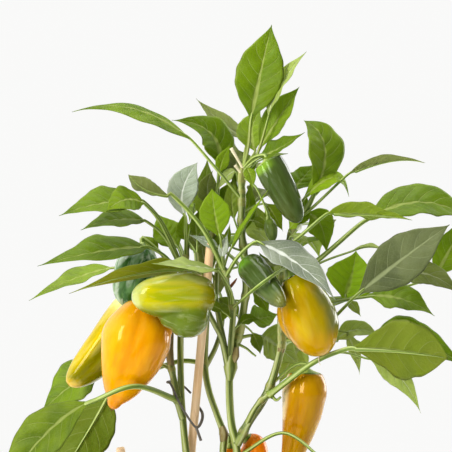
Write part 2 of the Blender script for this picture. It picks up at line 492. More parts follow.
def add_object(name, data):
    """A new object in the scene for a mesh, a lamp or a camera."""
    made = bpy.data.objects.new(name, data)
    bpy.context.scene.collection.objects.link(made)
    return made


def make_piece(name, body, replaced):
    mesh = body.mesh(name)
    mesh.polygons.foreach_set("material_index", body.finishes)
    paint = mesh.attributes.new("paint", "FLOAT_VECTOR", "POINT")
    paint.data.foreach_set("vector", np.vstack(body.paint).ravel())
    for finish in body.names:
        mesh.materials.append(FINISHES[finish])
    shell = bmesh.new()
    shell.from_mesh(mesh)
    bmesh.ops.recalc_face_normals(shell, faces=shell.faces)
    shell.to_mesh(mesh)
    shell.free()
    mesh.shade_smooth()
    piece = add_object(name, mesh)
    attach(piece, "root")
    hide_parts(*replaced)
    return piece


def apply_modifiers(piece):
    """Gives a piece the mesh that its modifiers make."""
    made = bpy.data.meshes.new_from_object(piece.evaluated_get(bpy.context.evaluated_depsgraph_get()))
    piece.modifiers.clear()
    old = piece.data
    piece.data = made
    bpy.data.meshes.remove(old)


def angles_round(sides):
    return np.linspace(0, 2 * np.pi, sides, endpoint=False)


def ring_round(centre, across, along, angles, reach):
    """Points round a centre in the plane of two directions."""
    return centre + np.outer(np.cos(angles) * reach, across) + np.outer(np.sin(angles) * reach, along)


def level_ring(radius, height, sides):
    """A ring round the pot's axis."""
    return ring_round([0, 0, height], [1, 0, 0], [0, 1, 0], angles_round(sides), radius)


def capped_faces(rings, sides):
    """Faces between closed rings, and to a centre point at each end: the two last points."""
    faces = []
    start = rings * sides
    last = start - sides
    for low in range(0, last, sides):
        high = low + sides
        for side in range(sides):
            after = (side + 1) % sides
            faces.append((low + side, low + after, high + after, high + side))
    for side in range(sides):
        after = (side + 1) % sides
        faces.append((start, after, side))
        faces.append((start + 1, last + side, last + after))
    return faces


def add_tube(body, path, radii, finish, sides=12, shape=None, marks=0.0):
    """A closed tube; shape(angles, share of the path) multiplies the radius round each ring.

    Its paint is the direction round the tube, shorter where marks are higher, and the run along it.
    """
    count = len(path)
    across, along = sides_along(path)
    angles = angles_round(sides)
    radii = np.broadcast_to(np.asarray(radii, float), (count,))
    rings = []
    for ring in range(count):
        reach = radii[ring] * (np.ones(sides) if shape is None else shape(angles, ring / (count - 1)))
        rings.append(ring_round(path[ring], across[ring], along[ring], angles, reach))
    points = np.vstack(rings + [path[:1], path[-1:]])
    clear = np.repeat(1 - MARK_SHARE * np.broadcast_to(marks, (count,)), sides)
    paint = np.column_stack([np.tile(np.cos(angles), count) * clear, np.tile(np.sin(angles), count) * clear,
                             np.repeat(run_along(path) / PAINT_UNIT, sides)])
    body.add(points, np.vstack([paint, paint[0], paint[-1]]), capped_faces(count, sides), finish)


def ripple(points, size, seed, waves=5):
    """A smooth random value between about -1 and 1 at each point; size is the ripples' length."""
    draw = np.random.default_rng(seed)
    total = np.zeros(len(points))
    for _ in range(waves):
        direction = unit(draw.normal(size=3)) * 2 * np.pi / (size * draw.uniform(*RIPPLE_SPREAD))
        total += np.sin(points @ direction + draw.uniform(0, 2 * np.pi))
    return total / math.sqrt(waves) / RIPPLE_PEAK


# ---------------------------------------------------------------- stems

STEM_STEP = 1.2
STEM_SIDES = 16
STUB_SIDES = 10
STUB_STEPS = 6
ROOT_PLACES = 201
STEM_RIBS = 5
STEM_RIB_DEPTH = 0.05
STEM_RIB_TWIST = 4
NODE_SWELL = 0.7
NODE_REACH = 2.6
KNOB_SHARE = 0.03
KNOB_LENGTH = 30
# A stem's free end is this thick and widens below it with the square root of the way from the end.
END_RADIUS = 0.4
END_WIDENING = 1.6

stem_paths = {row[0]: smooth_path(set_back(row[2])) for row in STEMS}


def root_on(stem, height):
    """The place on a stem's centre line at a height of the front elevation."""
    places = even_steps(stem_paths[stem], ROOT_PLACES)
    reach = 1 + places[:, 1] / EYE_DISTANCE
    off_level = np.abs(EYE_HEIGHT + (height - EYE_HEIGHT) * reach - places[:, 2])
    return places[off_level.argmin()]


def stem_ribs(angles, share):
    return 1 + STEM_RIB_DEPTH * np.cos(STEM_RIBS * angles + STEM_RIB_TWIST * share)


def add_stem(body, row):
    name, _, _, root_radius, top_radius = row
    path = even_steps(stem_paths[name], int(path_length(stem_paths[name]) / STEM_STEP) + 2)
    radii = root_radius + (top_radius - root_radius) * np.linspace(0, 1, len(path))
    joints = [root_on(name, leaf[1]) for leaf in LEAVES if leaf[0] == name]
    joints += [root_on(name, fruit[2]) for fruit in FRUITS if fruit[1] == name]
    nodes = np.zeros(len(path))
    for joint in joints:
        nodes = np.maximum(nodes, np.exp(-(np.linalg.norm(path - joint, axis=1) / NODE_REACH) ** 2))
    radii = (radii + NODE_SWELL * nodes) * (1 + KNOB_SHARE * ripple(path, KNOB_LENGTH, len(name)))
    to_end = np.linalg.norm(path - path[-1], axis=1)
    radii = np.minimum(radii, END_RADIUS + np.sqrt(to_end) * END_WIDENING)
    add_tube(body, path, radii, "stem", STEM_SIDES, stem_ribs, nodes)


def add_stub(body, row):
    _, places, radii, finish = row
    path = smooth_path(set_back(places), STUB_STEPS)
    radii = np.interp(np.linspace(0, 1, len(path)), np.linspace(0, 1, len(radii)), radii)
    add_tube(body, path, radii, finish, STUB_SIDES)


# ---------------------------------------------------------------- leaves

BLADE_ROWS = 44
BLADE_COLUMNS = 16
BLADE_THICKNESS = 0.5
# Outline: a higher power makes a blade leaner; its base is a wedge as long as WEDGE_SHARE, and its tip
# never gets narrower than BLADE_END_SHARE of the full width.
BLADE_POWER = 2.8
BLADE_END_SHARE = 0.035
WEDGE_SHARE = 0.14
WEDGE_DEPTH = 0.4
# Relief, all as shares of half the width: how far the midrib of a folded blade sinks, long waves of the
# edge, short ruffles of it, bulges between the veins, and the unevenness of the outline.
BLADE_SINK = 0.35
WAVE_SHARE = 0.06
WAVES = 2.5
RUFFLE_SHARES = (0.015, 0.05)
RUFFLES = (2.5, 4)
QUILT_SHARE = 0.03
JAG_SHARE = 0.02
JAGS = (5, 8)
ANY_PHASE = (0, 6.28)
# The side veins of both halves, which the mesh and the leaf finish share.
VEIN_PAIRS = 7.0
VEIN_SWEEP = 0.2
VEIN_BOW = 1.3
VEIN_OFFSET = 0.45

LEAF_SEED = 500
STALK_SIDES = 8
STALK_STEP = 2.5
STALK_FOOT = 2.2
STALK_INTO_BLADE = 0.1
GROOVE_DEPTH = 0.22
GROOVE_WIDTH = 0.45
MIDRIB_SHARES = (0.12, 0.96)
MIDRIB_STEPS = 22


def blade_outline(shares, belly):
    """Share of the full width along a blade: a wedge at the base and a drawn-out tip."""
    narrowing = 1 - WEDGE_DEPTH * np.exp(-(shares / WEDGE_SHARE) ** 2)
    wedge = (shares / belly) ** (BLADE_POWER * belly) * narrowing
    point = ((1 - shares) / (1 - belly)) ** (BLADE_POWER * (1 - belly))
    return np.maximum(wedge * point, BLADE_END_SHARE * (1 - 0.7 * shares))


def blade_relief(edge, share, lean, draw):
    """Height of a blade's halves over its midrib, in shares of half its width."""
    size = np.abs(edge)
    ruffle = draw.uniform(*RUFFLE_SHARES) * size**2.5 * np.sin(
        2 * np.pi * draw.uniform(*RUFFLES) * share + np.where(edge < 0, *draw.uniform(*ANY_PHASE, 2)))
    course = (share - VEIN_SWEEP * size**VEIN_BOW) * VEIN_PAIRS + VEIN_OFFSET * (edge < 0)
    quilt = QUILT_SHARE * (1 - np.cos(2 * np.pi * course)) * (1 - size) ** 0.6
    wave = WAVE_SHARE * edge * np.sin(2 * np.pi * WAVES * share)
    return lean * (1.25 * size - 0.25 * size**2) + wave + ruffle + quilt


def grid_quads(index):
    """Quads between neighbours in a grid of point numbers."""
    corners = [index[:-1, :-1], index[:-1, 1:], index[1:, 1:], index[1:, :-1]]
    return np.stack(corners, -1).reshape(-1, 4)


def add_blade(body, rib, width, face, fold, look, belly, draw):
    """A closed blade round its rib; returns its centre line and the way that its upper face looks."""
    along = np.linspace(0, 1, BLADE_ROWS + 1)
    ahead = arch_slopes(*rib, along)
    face = unit(face)
    up = unit(face - ahead * (ahead @ face)[:, None])
    across = np.cross(ahead, up)
    half = width / 2 * blade_outline(along, belly)
    lean = math.tan(math.radians(fold))
    centre = arch_points(*rib, along) - up * (BLADE_SINK * lean * half)[:, None]
    edge, share = np.meshgrid(np.linspace(-1, 1, BLADE_COLUMNS + 1), along)
    size = np.abs(edge)
    lift = half[:, None] * blade_relief(edge, share, lean, draw)
    jag = 1 + JAG_SHARE * np.sin(2 * np.pi * draw.uniform(*JAGS) * share + draw.uniform(*ANY_PHASE)) * size
    middle = (centre[:, None, :] + across[:, None, :] * (half[:, None] * edge * jag)[..., None]
              + up[:, None, :] * lift[..., None])
    # A blade thins out to nothing at its edge, and is thinner at its foot.
    thick = BLADE_THICKNESS / 2 * (1 - size**4) * np.minimum(1, 8 * share + 0.3)
    rise = up[:, None, :] * thick[..., None]
    # Both faces share the points of the edge; the under face has inner points of its own.
    grid = np.arange(edge.size).reshape(edge.shape)
    inner = grid[1:-1, 1:-1]
    shadow = grid.copy()
    shadow[1:-1, 1:-1] = edge.size + np.arange(inner.size).reshape(inner.shape)
    inner = inner.ravel()
    points = np.vstack([(middle + rise).reshape(-1, 3), (middle - rise).reshape(-1, 3)[inner]])
    paint = np.column_stack([edge.ravel(), share.ravel(), np.full(edge.size, draw.uniform())])
    first = body.count
    body.add(points, np.vstack([paint, paint[inner]]), grid_quads(grid).tolist(), look + "_upper")
    body.add_faces(first, grid_quads(shadow)[:, ::-1].tolist(), look + "_under")
    return centre, up


def leaf_stalk_path(root, bend, rib):
    base = rib[0]
    middle = (root + base) / 2
    middle[2] += np.linalg.norm(root - base) * STALK_ARCH
    if bend:
        middle = on_sight_line(bend)
    return smooth_path([root, middle, base, arch_points(*rib, [STALK_INTO_BLADE])[0]])


def stalk_groove(angles, _):
    """A furrow along the top of a leaf stalk."""
    from_top = np.minimum(np.abs(angles - np.pi / 2), np.abs(angles - np.pi / 2 - 2 * np.pi))
    return 1 - GROOVE_DEPTH * np.exp(-(from_top / GROOVE_WIDTH) ** 2)


def add_leaf(body, row, number):
    """A blade and the stalk that runs on as its midrib."""
    stem, height, bend, base, middle, tip, width, face, fold, look, *rest = row
    belly, heft = rest + USUAL_LEAF[len(rest):]
    rib = set_back([base, middle, tip])
    draw = np.random.default_rng(LEAF_SEED + number)
    centre, up = add_blade(body, rib, width, face, fold, look, belly, draw)
    stalk = leaf_stalk_path(root_on(stem, height), bend, rib)
    steps = max(6, int(path_length(stalk) / STALK_STEP))
    stalk = even_steps(stalk, steps)
    shares = np.linspace(0, 1, steps)
    root_radius, end_radius = LEAF_STALK_RADIUS
    # Wide blades have thicker stalks.
    size = min(1.2, 0.5 + width / 42) * heft
    to_root = shares * path_length(stalk)
    stalk_radii = ((root_radius + (end_radius - root_radius) * shares) * size
                   * (1 + 0.5 * np.exp(-(to_root / STALK_FOOT) ** 2)))
    rib_shares = np.linspace(*MIDRIB_SHARES, MIDRIB_STEPS)
    rib_radii = end_radius * size * (1 - rib_shares) ** 0.8 * 0.9 + 0.1
    nearest = np.interp(rib_shares, np.linspace(0, 1, len(up)), np.arange(len(up))).astype(int)
    midrib = centre[nearest] - up[nearest] * (rib_radii * 0.7)[:, None]
    add_tube(body, np.vstack([stalk, midrib]), np.concatenate([stalk_radii, rib_radii]), "stalk",
             STALK_SIDES, stalk_groove)


# ---------------------------------------------------------------- fruits and their stalks

FRUIT_SIDES = 72
FRUIT_SHARES = np.concatenate(
    [np.linspace(0, 0.12, 8), np.linspace(0.15, 0.9, 30), np.linspace(0.92, 0.995, 10)])
FRUIT_FURROWS = 3
FRUIT_SEED = 900
SEED_STEP = 10
LOBE_SEED_STEP = 7
# Crown width, belly, taper, bluntness and furrows of every side lobe.
LOBE_FORM = (0.5, 0.5, 0, 2.4, 0)
LOBE_VOXEL = 0.6
LOBE_SMOOTHING = 40
SPINE_PLACES = 41
FRUIT_END = 0.992
# Bulges and dents of the skin: (length in radii, height in radii)
FRUIT_BUMPS = [(1.6, 0.022), (0.6, 0.006)]
# Rings of the sunken crown round the stalk: (share of the crown's radius, height over the crown's plane)
CROWN_RINGS = [(0.12, -2.4), (0.35, -2.0), (0.6, -0.9), (0.82, -0.1)]

FRUIT_STALK_STEP = 1.2
FRUIT_STALK_SIDES = 14
SEAT_HEIGHT = 0.35
CALYX_SIDES = 40
CALYX_TEETH = 5
CALYX_TOP = CALYX_HEIGHT + 1.2
CALYX_FOOT = 0.2
# (share of the way from the stalk to the rim, height over the seat), down the outside and in below
CALYX_PROFILE = [(0.0, CALYX_TOP), (0.18, CALYX_HEIGHT - 0.2), (0.45, 2.0), (0.75, 1.1), (0.92, 0.7),
                 (1.0, 0.3), (0.96, -0.2), (0.6, CALYX_FOOT)]


def fruit_outline(shares, crown, belly, taper, bluntness):
    """Share of a fruit's radius along it."""
    rising = crown + (1 - crown) * np.sin(np.pi / 2 * np.minimum(shares / belly, 1)) ** 0.8
    past = np.maximum(shares - belly, 0) / (1 - belly)
    falling = np.sqrt(1 - past**bluntness) * (1 - taper * past)
    return np.where(shares < belly, rising, falling)


def fruit_body(axis, radius, crown, belly, taper, bluntness, furrow_depth, seed):
    """Points and faces of one closed, furrowed fruit round an arched axis."""
    angles = angles_round(FRUIT_SIDES)
    centre = arch_points(*axis, FRUIT_SHARES)
    ahead = arch_slopes(*axis, FRUIT_SHARES)
    first = np.cross([0, 1, 0], arch_slopes(*axis, [0.5])[0])
    side = unit(first - ahead * (ahead @ first)[:, None])
    other = np.cross(ahead, side)
    turn = np.random.default_rng(seed).uniform(0, 0.5, 2)
    swing = angles + turn[0] * FRUIT_SHARES[:, None] + turn[1]
    furrow = 1 - np.abs(np.cos(FRUIT_FURROWS / 2 * swing))
    size = radius * fruit_outline(FRUIT_SHARES, crown, belly, taper, bluntness)
    reach = size[:, None] * (1 + furrow_depth * (0.6 - 2.2 * furrow**2))
    rings = [ring_round(centre[0] - ahead[0] * height, side[0], other[0], angles, share * crown * radius)
             for share, height in CROWN_RINGS]
    rings += [ring_round(*frame, angles, reach[ring])
              for ring, frame in enumerate(zip(centre, side, other))]
    ends = [centre[0] - ahead[0] * CROWN_RINGS[0][1], arch_points(*axis, [FRUIT_END])[0]]
    points = np.vstack(rings + [ends])
    bumps = sum(height * ripple(points, radius * length, seed + number)
                for number, (length, height) in enumerate(FRUIT_BUMPS))
    middle = arch_points(*axis, np.linspace(0.1, 0.9, 9))
    nearest = middle[np.linalg.norm(points[:, None, :] - middle[None], axis=2).argmin(axis=1)]
    return points + (points - nearest) * bumps[:, None], capped_faces(len(rings), FRUIT_SIDES)


def make_fruit(row, seed):
    name, _, _, _, crown_at, middle, tip, radius, *form = row
    axis = set_back([crown_at, middle, tip])
    lobes = [(axis, radius, form, seed)]
    for *places, size in SWELLINGS.get(name, []):
        lobes.append((set_back(places), size, LOBE_FORM, seed + LOBE_SEED_STEP))
    body = Body()
    for lobe_axis, size, lobe_form, lobe_seed in lobes:
        points, faces = fruit_body(lobe_axis, size, *lobe_form, lobe_seed)
        body.add(points, np.zeros((len(points), 3)), faces, name)
    piece = make_piece("fruit_" + name.removeprefix("pepper_"), body, [name])
    if name in SWELLINGS:
        blend_lobes(piece)
    paint_fruit(piece, axis, radius)


def blend_lobes(piece):
    """Melts overlapping lobes into one skin with soft creases."""
    remesh = piece.modifiers.new("skin", "REMESH")
    remesh.mode = "VOXEL"
    remesh.voxel_size = LOBE_VOXEL * MM
    smooth = piece.modifiers.new("soften", "SMOOTH")
    smooth.factor = 0.5
    smooth.iterations = LOBE_SMOOTHING
    apply_modifiers(piece)
    piece.data.shade_smooth()


def paint_fruit(piece, axis, radius):
    """Paint values of a fruit: share of its length, and how far to its side and to the front."""
    mesh = piece.data
    points = np.empty(len(mesh.vertices) * 3)
    mesh.vertices.foreach_get("co", points)
    points = points.reshape(-1, 3) / MM
    shares = np.linspace(0, 1, SPINE_PLACES)
    spine = arch_points(*axis, shares)
    nearest = np.linalg.norm(points[:, None, :] - spine[None], axis=2).argmin(axis=1)
    offset = points - spine[nearest]
    past = (offset * arch_slopes(*axis, shares)[nearest]).sum(axis=1)
    side = unit(np.cross(spine[-1] - spine[0], [0, 1, 0]))
    paint = np.column_stack([shares[nearest] + past / path_length(spine), offset @ side / radius,
                             -offset[:, 1] / radius])
    layer = mesh.attributes.get("paint") or mesh.attributes.new("paint", "FLOAT_VECTOR", "POINT")
    layer.data.foreach_set("vector", paint.ravel())


def stalk_ribs(angles, _):
    return 1 + 0.07 * np.cos(5 * angles)


def add_fruit_stalk(body, row):
    """A fruit's stalk, from its root on the stem to the fruit's crown, and the calyx there."""
    _, stem, height, bend, crown_at, middle, tip, radius, crown = row[:9]
    axis = set_back([crown_at, middle, tip])
    outwards = -arch_slopes(*axis, [0])[0]
    seat = axis[0] + outwards * SEAT_HEIGHT
    neck = seat + outwards * CALYX_HEIGHT
    bends = [on_sight_line(bend)] if bend else []
    ends = [seat + outwards * STALK_HOOK, seat * 0.3 + neck * 0.7]
    path = smooth_path([root_on(stem, height)] + bends + ends)
    path = even_steps(path, max(12, int(path_length(path) / FRUIT_STALK_STEP)))
    shares = np.linspace(0, 1, len(path))
    root_radius, end_radius = FRUIT_STALK_RADIUS
    # Small fruits hang on slimmer stalks.
    slim = min(1, 0.55 + radius / 30)
    to_root = shares * path_length(path)
    to_seat = (1 - shares) * path_length(path)
    radii = slim * (root_radius + (end_radius - root_radius) * shares + 0.6 * np.exp(-(to_root / 2) ** 2)
                    + 0.8 * np.exp(-(to_seat / 4) ** 2))
    add_tube(body, path, radii, "stalk", FRUIT_STALK_SIDES, stalk_ribs)
    add_calyx(body, seat, outwards, radius * crown * CALYX_SHARE, slim)


def add_calyx(body, seat, outwards, cap_radius, slim):
    """The toothed green cap between a fruit and its stalk."""
    angles = angles_round(CALYX_SIDES)
    side = unit(np.cross(outwards, [0.3, 1, 0.2]))
    other = np.cross(outwards, side)
    teeth = 0.5 + 0.5 * np.cos(CALYX_TEETH * angles)
    neck = FRUIT_STALK_RADIUS[1] * slim
    rings = []
    paint = []
    for share, height in CALYX_PROFILE:
        reach = neck + (cap_radius - neck) * share + teeth**2 * share**3 * cap_radius * 0.22
        drop = teeth**2 * share**3 * 0.8
        rings.append(ring_round(seat, side, other, angles, reach) + np.outer(height - drop, outwards))
        paint.append(np.column_stack([np.cos(angles), np.sin(angles), np.full(CALYX_SIDES, share * 0.1)]))
    points = np.vstack(rings + [[seat + outwards * CALYX_TOP, seat + outwards * CALYX_FOOT]])
    paint = np.vstack(paint + [[[0, 0, 0], [0, 0, 0.1]]])
    body.add(points, paint, capped_faces(len(rings), CALYX_SIDES), "stalk")


# ---------------------------------------------------------------- pot, soil, canes and tie

POT_SIDES = 120
POT_ROUNDING = 0.9
HOLE_SIDES = 28
# Heights between which the drain holes are cut, past both faces of the floor.
DRILL_HEIGHTS = (-2, POT_FLOOR + 1)

SOIL_SIDES = 144
SOIL_RINGS = 60
SOIL_FIRST_RING = 0.6
# The soil's side starts this far below its edge and has this many rings.
SOIL_WALL_START = 6
SOIL_WALL_RINGS = 5
SOIL_SEED = 71
SOIL_GAP = 0.35
# The soil is level out to this share of its radius and slopes down from there to its edge.
SOIL_LEVEL_SHARE = 0.45
SOIL_LOWERING = 0.8
# Lumps of the surface: (height, length, waves)
SOIL_LUMPS = [(1.1, 22, 5), (0.8, 7, 5), (0.5, 3, 7)]
CRUMBS = 520
CRUMB_SIZES = (0.6, 2.1)
CRUMB_MARGIN = 3
CRUMB_SINK = 0.4
CRUMBS_PER_PALE_ONE = 13

CANE_SIDES = 28
CANE_RINGS = 80
CANE_CHAMFER = 0.86
# A cane's unevenness: (share of the radius, length)
CANE_WAVES = [(0.012, 17), (0.008, 5.3)]


def add_turned(body, profile, sides, finish):
    """A closed body of revolution; the profile starts and ends on the axis."""
    rings = [level_ring(radius, height, sides) for radius, height in profile[1:-1]]
    points = np.vstack(rings + [[[0, 0, profile[0][1]], [0, 0, profile[-1][1]]]])
    body.add(points, points / PAINT_UNIT, capped_faces(len(rings), sides), finish)


def rounded(profile, size, steps=4):
    """A profile with each corner off the axis rounded."""
    smooth = [profile[0]]
    for before, corner, after in zip(profile, profile[1:], profile[2:]):
        corner = np.array(corner, float)
        start = np.array(before) - corner
        end = np.array(after) - corner
        reach = min(size, 0.45 * np.linalg.norm(start), 0.45 * np.linalg.norm(end))
        for t in np.linspace(0, 1, steps + 1):
            smooth.append(tuple(corner + unit(start) * reach * (1 - t) ** 2 + unit(end) * reach * t**2))
    return smooth + [profile[-1]]


def make_pot():
    shoulder = POT_HEIGHT - RIM_HEIGHT
    neck = POT_TOP_RADIUS - RIM_STEP
    inner_rim = POT_TOP_RADIUS - POT_WALL
    profile = [
        (0, 0), (POT_BASE_RADIUS, 0), (neck, shoulder), (POT_TOP_RADIUS, shoulder),
        (POT_TOP_RADIUS, POT_HEIGHT), (inner_rim, POT_HEIGHT), (inner_rim, shoulder + POT_WALL),
        (neck - POT_WALL, shoulder + POT_WALL), (POT_BASE_RADIUS - POT_WALL, POT_FLOOR), (0, POT_FLOOR),
    ]
    body = Body()
    add_turned(body, rounded(profile, POT_ROUNDING), POT_SIDES, "clay")
    cut_drain_holes(make_piece("pot_shell", body, ["pot"]))


def cut_drain_holes(piece):
    body = Body()
    for angle in angles_round(DRAIN_HOLES):
        x = DRAIN_CIRCLE * math.cos(angle)
        y = DRAIN_CIRCLE * math.sin(angle)
        ends = np.array([[x, y, height] for height in DRILL_HEIGHTS])
        add_tube(body, ends, DRAIN_RADIUS, "clay", HOLE_SIDES)
    cutter = add_object("drain_cutter", body.mesh("drain_cutter"))
    cut = piece.modifiers.new("drain_holes", "BOOLEAN")
    cut.operation = "DIFFERENCE"
    cut.solver = "EXACT"
    cut.object = cutter
    bpy.context.view_layer.update()
    apply_modifiers(piece)
    bpy.data.objects.remove(cutter)


def inner_radius(height):
    """Radius of the pot's inside below its rim."""
    shoulder = POT_HEIGHT - RIM_HEIGHT + POT_WALL
    share = (height - POT_FLOOR) / (shoulder - POT_FLOOR)
    base = POT_BASE_RADIUS - POT_WALL
    return base + (POT_TOP_RADIUS - RIM_STEP - POT_WALL - base) * share


SOIL_RADIUS = inner_radius(SOIL_EDGE_HEIGHT) - SOIL_GAP
SOIL_FOOT = POT_FLOOR + SOIL_GAP


def soil_height(radius):
    past_level = max(0, radius / SOIL_RADIUS - SOIL_LEVEL_SHARE) / (1 - SOIL_LEVEL_SHARE)
    return SOIL_CROWN_HEIGHT - (SOIL_CROWN_HEIGHT - SOIL_EDGE_HEIGHT) * past_level


def make_soil():
    body = Body()
    rings = []
    for radius in np.linspace(SOIL_FIRST_RING, SOIL_RADIUS, SOIL_RINGS):
        ring = level_ring(radius, 0, SOIL_SIDES)
        lumps = sum(height * ripple(ring, length, SOIL_SEED + number, waves)
                    for number, (height, length, waves) in enumerate(SOIL_LUMPS))
        # Lumps die down towards the pot's wall.
        calm = min(1, (SOIL_RADIUS - radius) / 4 + 0.25)
        ring[:, 2] = soil_height(radius) - SOIL_LOWERING + lumps * calm
        rings.append(ring)
    for height in np.linspace(SOIL_EDGE_HEIGHT - SOIL_WALL_START, SOIL_FOOT, SOIL_WALL_RINGS):
        rings.append(level_ring(inner_radius(height) - SOIL_GAP, height, SOIL_SIDES))
    points = np.vstack(rings + [[[0, 0, SOIL_CROWN_HEIGHT - SOIL_LOWERING], [0, 0, SOIL_FOOT]]])
    body.add(points, points / PAINT_UNIT, capped_faces(len(rings), SOIL_SIDES), "soil")
    add_crumbs(body)
    make_piece("soil_bed", body, ["soil"])


def add_crumbs(body):
    """Loose crumbs and pale grains on the soil."""
    shape = bmesh.new()
    bmesh.ops.create_icosphere(shape, subdivisions=1, radius=1)
    ball = np.array([vertex.co[:] for vertex in shape.verts])
    faces = [tuple(vertex.index for vertex in face.verts) for face in shape.faces]
    shape.free()
    draw = np.random.default_rng(SOIL_SEED)
    for number in range(CRUMBS):
        radius = (SOIL_RADIUS - CRUMB_MARGIN) * math.sqrt(draw.uniform())
        angle = draw.uniform(0, 2 * math.pi)
        place = [radius * math.cos(angle), radius * math.sin(angle), soil_height(radius) - CRUMB_SINK]
        size = draw.uniform(*CRUMB_SIZES) * draw.uniform(0.6, 1, 3)
        dents = 1 + 0.25 * np.sin(ball @ np.array([4.1, 5.3, 3.7]) + draw.uniform(0, 10))
        points = ball * size * dents[:, None] + place
        finish = "soil" if number % CRUMBS_PER_PALE_ONE else "perlite"
        body.add(points, points / PAINT_UNIT, faces, finish)


def cane_ribs(angles, share):
    return 1 + 0.012 * np.sin(3 * angles + 5 * share)


def make_cane(name, places, replaced):
    foot, top = set_back(places)
    run = np.linspace(0, np.linalg.norm(top - foot), CANE_RINGS)
    radii = CANE_RADIUS * (1 + sum(share * np.sin(run / length) for share, length in CANE_WAVES))
    radii[0] = radii[-1] = CANE_RADIUS * CANE_CHAMFER
    body = Body()
    add_tube(body, np.linspace(foot, top, CANE_RINGS), radii, "cane", CANE_SIDES, cane_ribs)
    make_piece(name, body, [replaced])


def wire_ribs(angles, _):
    return 1 + 0.18 * np.cos(2 * angles)


def make_tie():
    body = Body()
    for places in (TIE_LOOP, TIE_TAIL):
        add_tube(body, smooth_path(set_back(places), 12), WIRE_RADIUS, "wire", shape=wire_ribs)
    make_piece("twist_tie", body, ["tie_wire"])


# ---------------------------------------------------------------- finishes


def rgb(code):
    """A linear colour from a hexadecimal one."""
    values = [int(code[place:place + 2], 16) / 255 for place in (0, 2, 4)]
    return tuple(v / 12.92 if v <= 0.04045 else ((v + 0.055) / 1.055) ** 2.4 for v in values) + (1.0,)


class Graph:
    """Builds the nodes of a material or a world."""

    def __init__(self, owner):
        self.owner = owner
        owner.use_nodes = True
        self.tree = owner.node_tree
        self.tree.nodes.clear()

    def node(self, kind, inputs, **settings):
        made = self.tree.nodes.new(kind)
        for key, value in settings.items():
            setattr(made, key, value)
        for key, value in inputs.items():
            if isinstance(value, bpy.types.NodeSocket):
                self.tree.links.new(value, made.inputs[key])
            else:
                made.inputs[key].default_value = value
        return made

    def maths(self, operation, *values):
        return self.node("ShaderNodeMath", dict(enumerate(values)), operation=operation).outputs[0]

    def times(self, *values):
        return functools.reduce(lambda total, value: self.maths("MULTIPLY", total, value), values)

    def plus(self, *values):
        return functools.reduce(lambda total, value: self.maths("ADD", total, value), values)

    def ramp(self, value, low, high, start=0.0, end=1.0):
        return self.node("ShaderNodeMapRange", {0: value, 1: low, 2: high, 3: start, 4: end},
                         interpolation_type="SMOOTHSTEP").outputs[0]

    def mix(self, share, first, second):
        return self.node("ShaderNodeMix", {0: share, 6: first, 7: second}, data_type="RGBA").outputs[2]

    def blend(self, share, first, second):
        """A mixture of two hexadecimal colours."""
        return self.mix(share, rgb(first), rgb(second))

    def tint(self, colour, code, *shares):
        """A colour with a share of a hexadecimal one laid over it."""
        return self.mix(self.times(*shares), colour, rgb(code))

    def paint(self):
        return self.node("ShaderNodeAttribute", {}, attribute_name="paint").outputs["Vector"]

    def place(self):
        return self.node("ShaderNodeTexCoord", {}).outputs["Object"]

    def split(self, vector):
        return self.node("ShaderNodeSeparateXYZ", {0: vector}).outputs

    def stretch(self, vector, *scale):
        return self.node("ShaderNodeVectorMath", {0: vector, 1: scale}, operation="MULTIPLY").outputs[0]

    def noise(self, vector, scale, detail=2.0, roughness=0.5, distortion=0.0):
        inputs = {"Vector": vector, "Scale": scale, "Detail": detail, "Roughness": roughness,
                  "Distortion": distortion}
        return self.node("ShaderNodeTexNoise", inputs).outputs[0]

    def cells(self, vector, scale):
        return self.node("ShaderNodeTexVoronoi", {"Vector": vector, "Scale": scale},
                         feature="DISTANCE_TO_EDGE").outputs["Distance"]

    def bump(self, height, strength, distance):
        inputs = {"Height": height, "Strength": strength, "Distance": distance}
        return self.node("ShaderNodeBump", inputs).outputs[0]

    def surface(self, colour, roughness, normal=None, **settings):
        inputs = {"Base Color": colour, "Roughness": roughness}
        if normal is not None:
            inputs["Normal"] = normal
        inputs.update({key.replace("_", " ").title().replace("Ior", "IOR"): value
                       for key, value in settings.items()})
        return self.node("ShaderNodeBsdfPrincipled", inputs).outputs[0]

    def backlit(self, skin, share, glow, normal):
        """A skin that lets a share of the light shine through, in its own colour."""
        shine = self.node("ShaderNodeBsdfTranslucent", {"Color": glow, "Normal": normal}).outputs[0]
        return self.node("ShaderNodeMixShader", {0: share, 1: skin, 2: shine}).outputs[0]

    def finish(self, shader, output="ShaderNodeOutputMaterial"):
        self.node(output, {"Surface": shader})
        return self.owner

    def plain_finish(self, colour, roughness, specular, *relief):
        """Ends an opaque material; relief is the height, strength and distance of its bumps."""
        return self.finish(self.surface(colour, roughness, self.bump(*relief), specular_ior_level=specular))


def new_finish(name):
    return Graph(bpy.data.materials.new(name))


